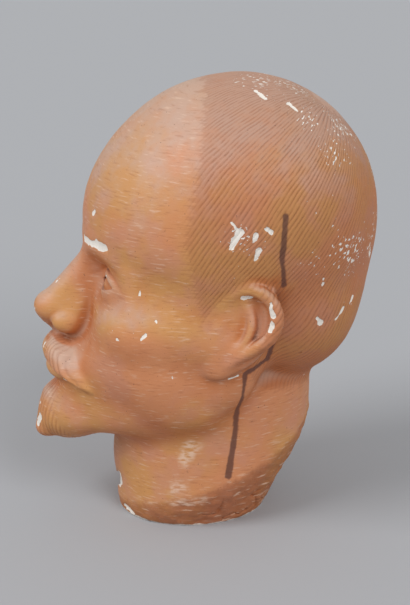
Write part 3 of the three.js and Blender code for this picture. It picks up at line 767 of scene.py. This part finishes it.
class Paint:
    """A material being put together from nodes."""

    def __init__(self, name):
        self.material = bpy.data.materials.new(name)
        self.material.use_nodes = True
        self.tree = self.material.node_tree
        self.shader = self.tree.nodes["Principled BSDF"]

    def node(self, kind, **inputs):
        node = self.tree.nodes.new("ShaderNode" + kind)
        for name, value in inputs.items():
            self.feed(node, name, value)
        return node

    def feed(self, node, name, value):
        socket = node.inputs[int(name[1:])] if name[1:].isdigit() else node.inputs[name]
        if isinstance(value, bpy.types.NodeSocket):
            self.tree.links.new(value, socket)
        else:
            socket.default_value = value

    def kept(self, name):
        """The three numbers that mark() stored at each place."""
        node = self.node("Attribute")
        node.attribute_name = name
        parts = self.node("SeparateXYZ", Vector=node.outputs["Vector"])
        return parts.outputs

    def place(self):
        return self.node("TexCoord").outputs["Object"]

    def noise(self, size, detail=4.0, where=None, roughness=0.5):
        """Noise from 0 to 1 with features about size millimetres wide."""
        where = where or self.place()
        node = self.node("TexNoise", Vector=where, Scale=1000 / size, Detail=detail, Roughness=roughness)
        return node.outputs["Fac"]

    def math(self, what, a, b=0.0):
        node = self.node("Math", _0=a, _1=b)
        node.operation = what
        return node.outputs[0]

    def scaled(self, value, by):
        return self.math("MULTIPLY", value, by)

    def sum(self, *values):
        total = values[0]
        for value in values[1:]:
            total = self.math("ADD", total, value)
        return total

    def product(self, *values):
        total = values[0]
        for value in values[1:]:
            total = self.math("MULTIPLY", total, value)
        return total

    def blend(self, share, under, over):
        node = self.tree.nodes.new("ShaderNodeMix")
        for name, value in (("_0", share), ("_2", under), ("_3", over)):
            self.feed(node, name, value)
        return node.outputs[0]

    def packed(self, x, y, z):
        return self.node("CombineXYZ", X=x, Y=y, Z=z).outputs[0]

    def height(self):
        return self.node("SeparateXYZ", Vector=self.place()).outputs[2]

    def vector(self, what, a, b):
        node = self.node("VectorMath", _0=a, _1=b)
        node.operation = what
        return node

    def off_axis(self, fan):
        """The place counted from the axis of a fan, and how far it lies along each of the fan's directions."""
        point, *ways, _ = around(fan)
        q = self.vector("SUBTRACT", self.place(), tuple(point * MM)).outputs[0]
        return q, [self.vector("DOT_PRODUCT", q, tuple(way)).outputs["Value"] for way in ways]

    def turned(self, fan):
        _, (_, beside, across) = self.off_axis(fan)
        return self.scaled(self.math("ARCTAN2", beside, across), 1 / (2 * math.pi))

    def from_crown(self):
        q, (along, _, _) = self.off_axis("comb")
        far = self.vector("LENGTH", q, (0, 0, 0)).outputs["Value"]
        return self.math("ARCCOSINE", self.math("DIVIDE", along, far))

    def groove(self, turn, lines):
        """1 in each combed groove and 0 on the ridges between."""
        wave = self.math("COSINE", self.scaled(turn, 2 * math.pi * lines))
        half = self.sum(self.scaled(wave, 0.5), 0.5)
        return self.product(half, half, half)

    def streaks(self, tilt, width, reach):
        """Noise from 0 to 1 in strokes of that width and reach in millimetres, level before they are tilted."""
        node = self.node("Mapping", Vector=self.place(), Rotation=tilt, Scale=(1 / reach, 1 / reach, 1 / width))
        return self.noise(1, 3, node.outputs[0])

    def ramp(self, value, low, high):
        """0 below low and 1 above high, softly between."""
        node = self.node("MapRange", Value=value)
        node.interpolation_type = "SMOOTHSTEP"
        node.inputs["From Min"].default_value = low
        node.inputs["From Max"].default_value = high
        return node.outputs[0]

    def mix(self, share, under, over):
        node = self.tree.nodes.new("ShaderNodeMix")
        node.data_type = "RGBA"
        self.feed(node, "_0", share)
        self.feed(node, "_6", under)
        self.feed(node, "_7", over)
        return node.outputs[2]


ORANGE = linear(208, 137, 93)
OCHRE = linear(204, 145, 86)
ROSE = linear(203, 140, 112)
DUST = linear(196, 166, 148)
# A deeper orange, used only as painted shade on the undersides and in the hollows
SHADED_ORANGE = linear(186, 104, 48)
BROWN = linear(150, 84, 48)
DARK = linear(84, 48, 42)
PALE = linear(232, 200, 176)
PLASTER = linear(240, 236, 228)
YELLOW_STAIN = linear(222, 172, 62)


def colour_layers(paint, marks):
    """The paint, from its ground to its dust: orange, redder and yellower in places, with painted shade darker on the
    undersides and deep in the hollows.
    """
    blotch, cloud = paint.noise(110, 3), paint.noise(38, 5)
    colour = paint.mix(paint.ramp(blotch, 0.42, 0.6), ORANGE, OCHRE)
    colour = paint.mix(paint.scaled(paint.ramp(cloud, 0.45, 0.65), 0.6), colour, ROSE)
    high = paint.scaled(marks["upward"], 0.75)
    dusty = paint.ramp(paint.sum(high, paint.scaled(cloud, 0.7), paint.scaled(paint.noise(9, 5), 0.35)), 0.62, 1.25)
    colour = paint.mix(paint.scaled(dusty, 0.85), colour, DUST)
    # Painted shade: places that face downwards are darkened towards a deeper orange
    under = paint.ramp(paint.sum(paint.scaled(marks["upward"], -0.8), paint.scaled(cloud, 0.5)), 0.3, 0.95)
    colour = paint.mix(paint.scaled(under, 0.6), colour, SHADED_ORANGE)
    # Painted shade: the deeper a place lies in a crease or hollow, the more the paint is darkened to deeper orange,
    # brown and near black
    crease_shade = paint.sum(marks["hollow"], paint.scaled(paint.noise(22, 4), 0.3))
    colour = paint.mix(paint.scaled(paint.ramp(crease_shade, 0.2, 0.55), 0.75), colour, SHADED_ORANGE)
    colour = paint.mix(paint.scaled(paint.ramp(crease_shade, 0.5, 1.0), 0.8), colour, BROWN)
    return paint.mix(paint.scaled(paint.ramp(crease_shade, 0.85, 1.3), 0.8), colour, DARK)


def tooling(paint):
    """Fine scratches left by the modelling tools: mostly level on the neck, and crossing on the face."""
    level = paint.streaks((0.35, 0.0, 0.0), 1.7, 14)
    steep = paint.streaks((1.2, 0.2, 0.4), 1.9, 12)
    where = paint.ramp(paint.noise(45, 3), 0.42, 0.58)
    return paint.blend(where, level, steep)


def painted_plaster():
    paint = Paint("painted_plaster")
    drift, hair, fine = paint.kept("hair")
    moustache, beard, foot = paint.kept("beard")
    hollow, ridge, upward = paint.kept("form")
    flaked, seam, crowd = paint.kept("loss")
    rubbed, yellow, _ = paint.kept("wear")
    colour = colour_layers(paint, {"hollow": hollow, "upward": upward})

    lines = FANS["comb"][2]
    turn = paint.sum(paint.turned("comb"), drift)
    combed = paint.blend(fine, paint.groove(turn, lines // 2), paint.groove(turn, lines))
    away = paint.from_crown()
    stroke = paint.noise(1000, 3, paint.packed(paint.scaled(turn, lines * 0.9), paint.scaled(away, 12), 0.0))
    combed = paint.product(combed, hair, paint.ramp(stroke, 0.3, 0.6))
    strands = paint.sum(
        paint.product(paint.groove(paint.turned("moustache"), FANS["moustache"][2]), moustache),
        paint.product(paint.groove(paint.turned("beard"), FANS["beard"][2]), beard),
    )
    scratches = paint.product(tooling(paint), paint.math("SUBTRACT", 1.0, paint.scaled(hair, 0.7)))
    # Painted shade: the combed grooves and the strand grooves of the moustache and beard are darkened towards brown
    colour = paint.mix(paint.scaled(combed, 0.42), colour, BROWN)
    colour = paint.mix(paint.scaled(strands, 0.3), colour, BROWN)
    colour = paint.mix(paint.scaled(paint.ramp(scratches, 0.56, 0.72), 0.38), colour, PALE)
    colour = paint.mix(paint.scaled(paint.ramp(scratches, 0.44, 0.3), 0.28), colour, BROWN)
    colour = paint.mix(paint.scaled(paint.ramp(ridge, 0.2, 0.75), 0.45), colour, DUST)

    grit = paint.noise(3.5, 3)
    colour = paint.mix(paint.scaled(paint.ramp(paint.sum(foot, paint.scaled(grit, 0.5)), 0.55, 1.2), 0.55), colour, BROWN)
    scrape = paint.product(foot, paint.ramp(paint.streaks((0.3, 0, 0), 3, 16), 0.6, 0.7))
    colour = paint.mix(paint.scaled(scrape, 0.6), colour, PALE)
    thin = paint.product(rubbed, paint.ramp(paint.streaks((0.5, 0, 0), 3, 9), 0.35, 0.6))
    colour = paint.mix(paint.scaled(thin, 0.75), colour, PALE)
    colour = paint.mix(paint.scaled(paint.ramp(paint.noise(2.2, 2), 0.7, 0.78), 0.7), colour, DARK)
    stain = paint.ramp(paint.sum(seam, paint.scaled(paint.noise(5, 4), 0.5)), 0.55, 1.0)
    colour = paint.mix(paint.scaled(stain, 0.8), colour, DARK)

    across = paint.packed(paint.scaled(turn, lines * 1.4), paint.scaled(away, 26), 0.0)
    speck = paint.noise(1000, 2, across)
    density = paint.sum(speck, paint.scaled(crowd, 0.16), paint.scaled(hair, 0.03), paint.scaled(cloudy(paint), 0.12))
    white = paint.ramp(density, 0.86, 0.9)
    chip = paint.sum(flaked, paint.scaled(paint.noise(1.4, 3), 0.9))
    white = paint.math("MAXIMUM", white, paint.ramp(chip, 0.4, 0.75))
    low = paint.sum(paint.scaled(paint.height(), -1000), paint.scaled(paint.noise(12, 4), 7))
    white = paint.math("MAXIMUM", white, paint.scaled(paint.ramp(low, 1.2, 2.4), 0.85))
    chalk = paint.mix(paint.scaled(paint.noise(7, 4), 0.25), PLASTER, PALE)
    colour = paint.mix(white, colour, chalk)
    colour = paint.mix(paint.scaled(yellow, 0.9), colour, YELLOW_STAIN)
    paint.feed(paint.shader, "Base Color", colour)

    gloss = paint.sum(0.42, paint.scaled(paint.noise(14, 4), 0.2), paint.scaled(white, 0.3), paint.scaled(foot, 0.15))
    paint.feed(paint.shader, "Roughness", gloss)
    relief = paint.sum(
        paint.scaled(combed, -0.5),
        paint.scaled(strands, -0.4),
        paint.scaled(scratches, 0.35),
        paint.scaled(paint.noise(1.6, 3), 0.3),
        paint.scaled(paint.product(foot, grit), 0.8),
        paint.scaled(white, -0.35),
    )
    bump = paint.node("Bump", Height=relief, Strength=0.6, Distance=0.001)
    paint.feed(paint.shader, "Normal", bump.outputs["Normal"])
    return paint.material


def cloudy(paint):
    return paint.ramp(paint.noise(30, 3), 0.4, 0.65)


def floor_paint():
    paint = Paint("grey_paper")
    paint.feed(paint.shader, "Base Color", linear(172, 174, 178))
    paint.feed(paint.shader, "Roughness", 0.9)
    return paint.material


# Studio
VIEW = {"azimuth": 84, "elevation": 20, "distance": 1.6, "target": (0, 0, 0.235), "lift": -0.0155, "sensor": 36}
FRAME = (410, 605)
# Broad soft lights, far off: (name, azimuth, elevation, strength, spread)
LIGHTS = [
    ("left_softbox", 24, 45, 1.35, 30),
    ("right_softbox", 117, 38, 1.0, 30),
]
ROOM_LIGHT = 0.5


def towards(azimuth, elevation):
    a, e = math.radians(azimuth), math.radians(elevation)
    return Vector((math.sin(a) * math.cos(e), -math.cos(a) * math.cos(e), math.sin(e)))


def camera():
    back = towards(VIEW["azimuth"], VIEW["elevation"])
    up = towards(VIEW["azimuth"] + 180, 90 - VIEW["elevation"])
    data = bpy.data.cameras.new("view")
    data.sensor_width = VIEW["sensor"]
    data.lens = VIEW["sensor"] * VIEW["distance"] / (max(FRAME) * MM)
    seen = bpy.data.objects.new("view", data)
    seen.location = Vector(VIEW["target"]) + back * VIEW["distance"]
    aim = Vector(VIEW["target"]) + up * VIEW["lift"]
    seen.rotation_euler = (seen.location - aim).to_track_quat("Z", "Y").to_euler()
    bpy.context.scene.collection.objects.link(seen)
    bpy.context.scene.camera = seen


def light(name, azimuth, elevation, strength, spread):
    data = bpy.data.lights.new(name, "SUN")
    data.energy = strength
    data.angle = math.radians(spread)
    lamp = bpy.data.objects.new(name, data)
    lamp.rotation_euler = towards(azimuth, elevation).to_track_quat("Z", "Y").to_euler()
    bpy.context.scene.collection.objects.link(lamp)


def room():
    mesh = bpy.data.meshes.new("floor")
    mesh.from_pydata([(-9, -9, 0), (9, -9, 0), (9, 9, 0), (-9, 9, 0)], [], [(0, 1, 2, 3)])
    floor = bpy.data.objects.new("floor", mesh)
    mesh.materials.append(floor_paint())
    bpy.context.scene.collection.objects.link(floor)
    world = bpy.data.worlds.new("room")
    world.use_nodes = True
    world.node_tree.nodes["Background"].inputs["Color"].default_value = linear(255, 255, 255)
    world.node_tree.nodes["Background"].inputs["Strength"].default_value = ROOM_LIGHT
    bpy.context.scene.world = world
    bpy.context.scene.view_settings.view_transform = "Standard"
    for row in LIGHTS:
        light(*row)


camera()
room()
piece = build()
mark(piece)
piece.data.materials.append(painted_plaster())
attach(piece, "root")
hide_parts("plaster_head")
